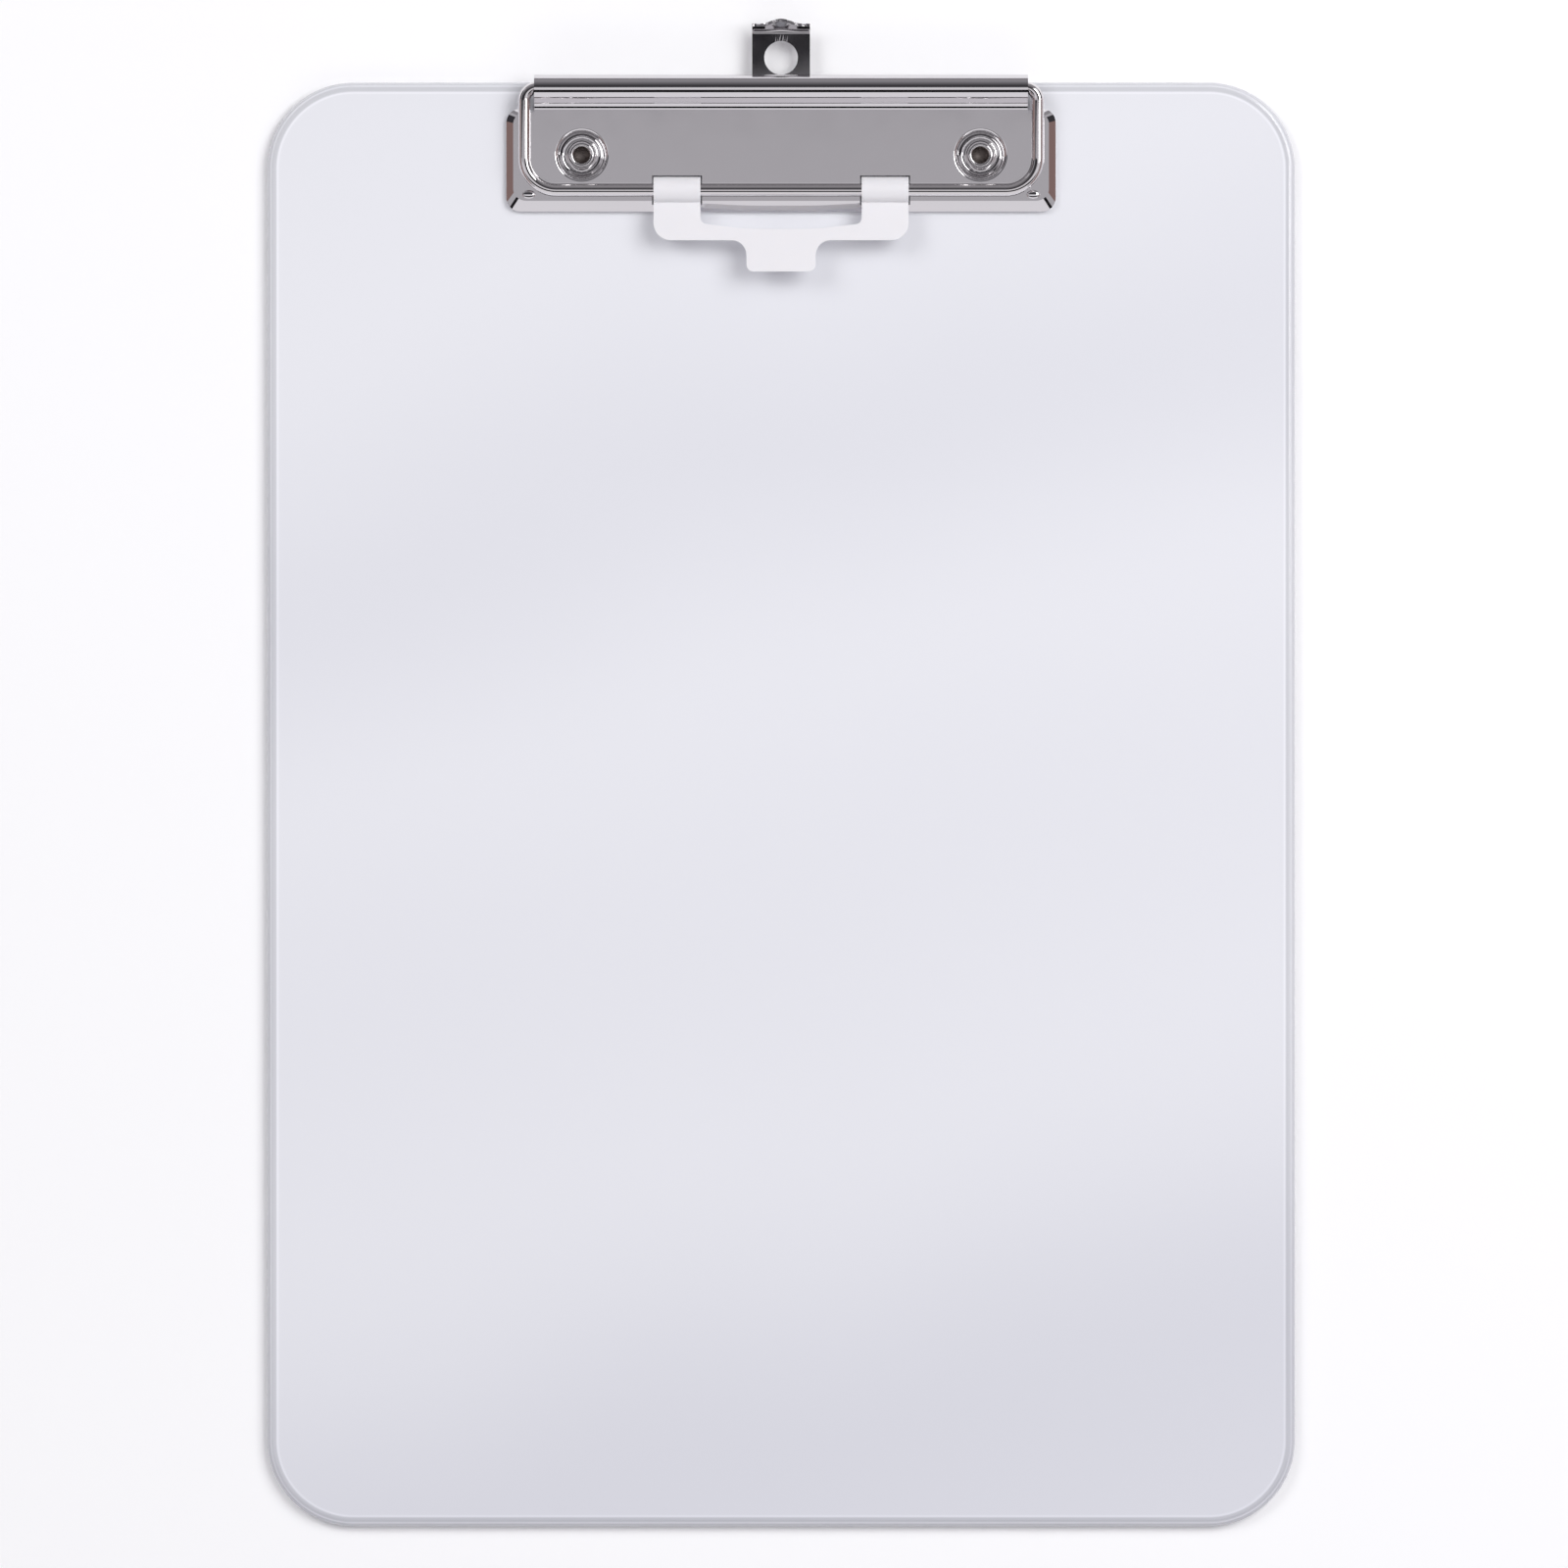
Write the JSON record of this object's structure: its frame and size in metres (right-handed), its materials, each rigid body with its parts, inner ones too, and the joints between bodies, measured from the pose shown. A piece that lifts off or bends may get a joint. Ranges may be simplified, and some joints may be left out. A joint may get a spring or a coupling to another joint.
{
  "type": "clipboard",
  "caption": "Letter-size clipboard: moulded board, riveted steel clip with a spring wire bail, lift tab and a slide-out hanging tab.",
  "frame": {"origin": "centre of the board's back face, the face that lies on a table", "axes": "+X across the board, +Y along the board towards the clip, +Z out of the writing face"},
  "size_m": [0.226, 0.3313, 0.0101],
  "materials": {
    "board_plastic": "glossy, clear to frosted",
    "plated_steel": "bright nickel plate",
    "plated_wire": "bright nickel plate",
    "spring_steel": "tempered strip",
    "rivet_steel": "bright nickel plate",
    "hanger_steel": "bright nickel plate",
    "tab_plastic": "semi-gloss, moulded"
  },
  "bodies": {
    "board_and_clip": {"board": "board_plastic", "base_plate": "plated_steel", "leaf_spring_left": "spring_steel", "leaf_spring_right": "spring_steel", "rivet_left": "rivet_steel", "rivet_right": "rivet_steel"},
    "bail": {"clamp_wire": "plated_wire"},
    "tab": {"lift_tab": "tab_plastic"},
    "hanger": {"hanging_tab": "hanger_steel"}
  },
  "joints": [
    {"name": "bail_hinge", "type": "hinge", "parent": "board_and_clip", "child": "bail", "pos_m": [0, 0.1574, 0.00685], "axis": [-1, 0, 0], "range_deg": [0, 100], "stiffness_Nm_per_rad": 0.03, "springref_deg": -28.65, "deforming": ["leaf_spring_left", "leaf_spring_right"]},
    {"name": "lift_tab_pivot", "type": "hinge", "parent": "bail", "child": "tab", "pos_m": [0, 0.13495, 0.00685], "axis": [-1, 0, 0], "range_deg": [0, 80]},
    {"name": "hanging_tab_slide", "type": "slide", "parent": "board_and_clip", "child": "hanger", "axis": [0, 1, 0], "range_m": [-0.0095, 0]}
  ]
}
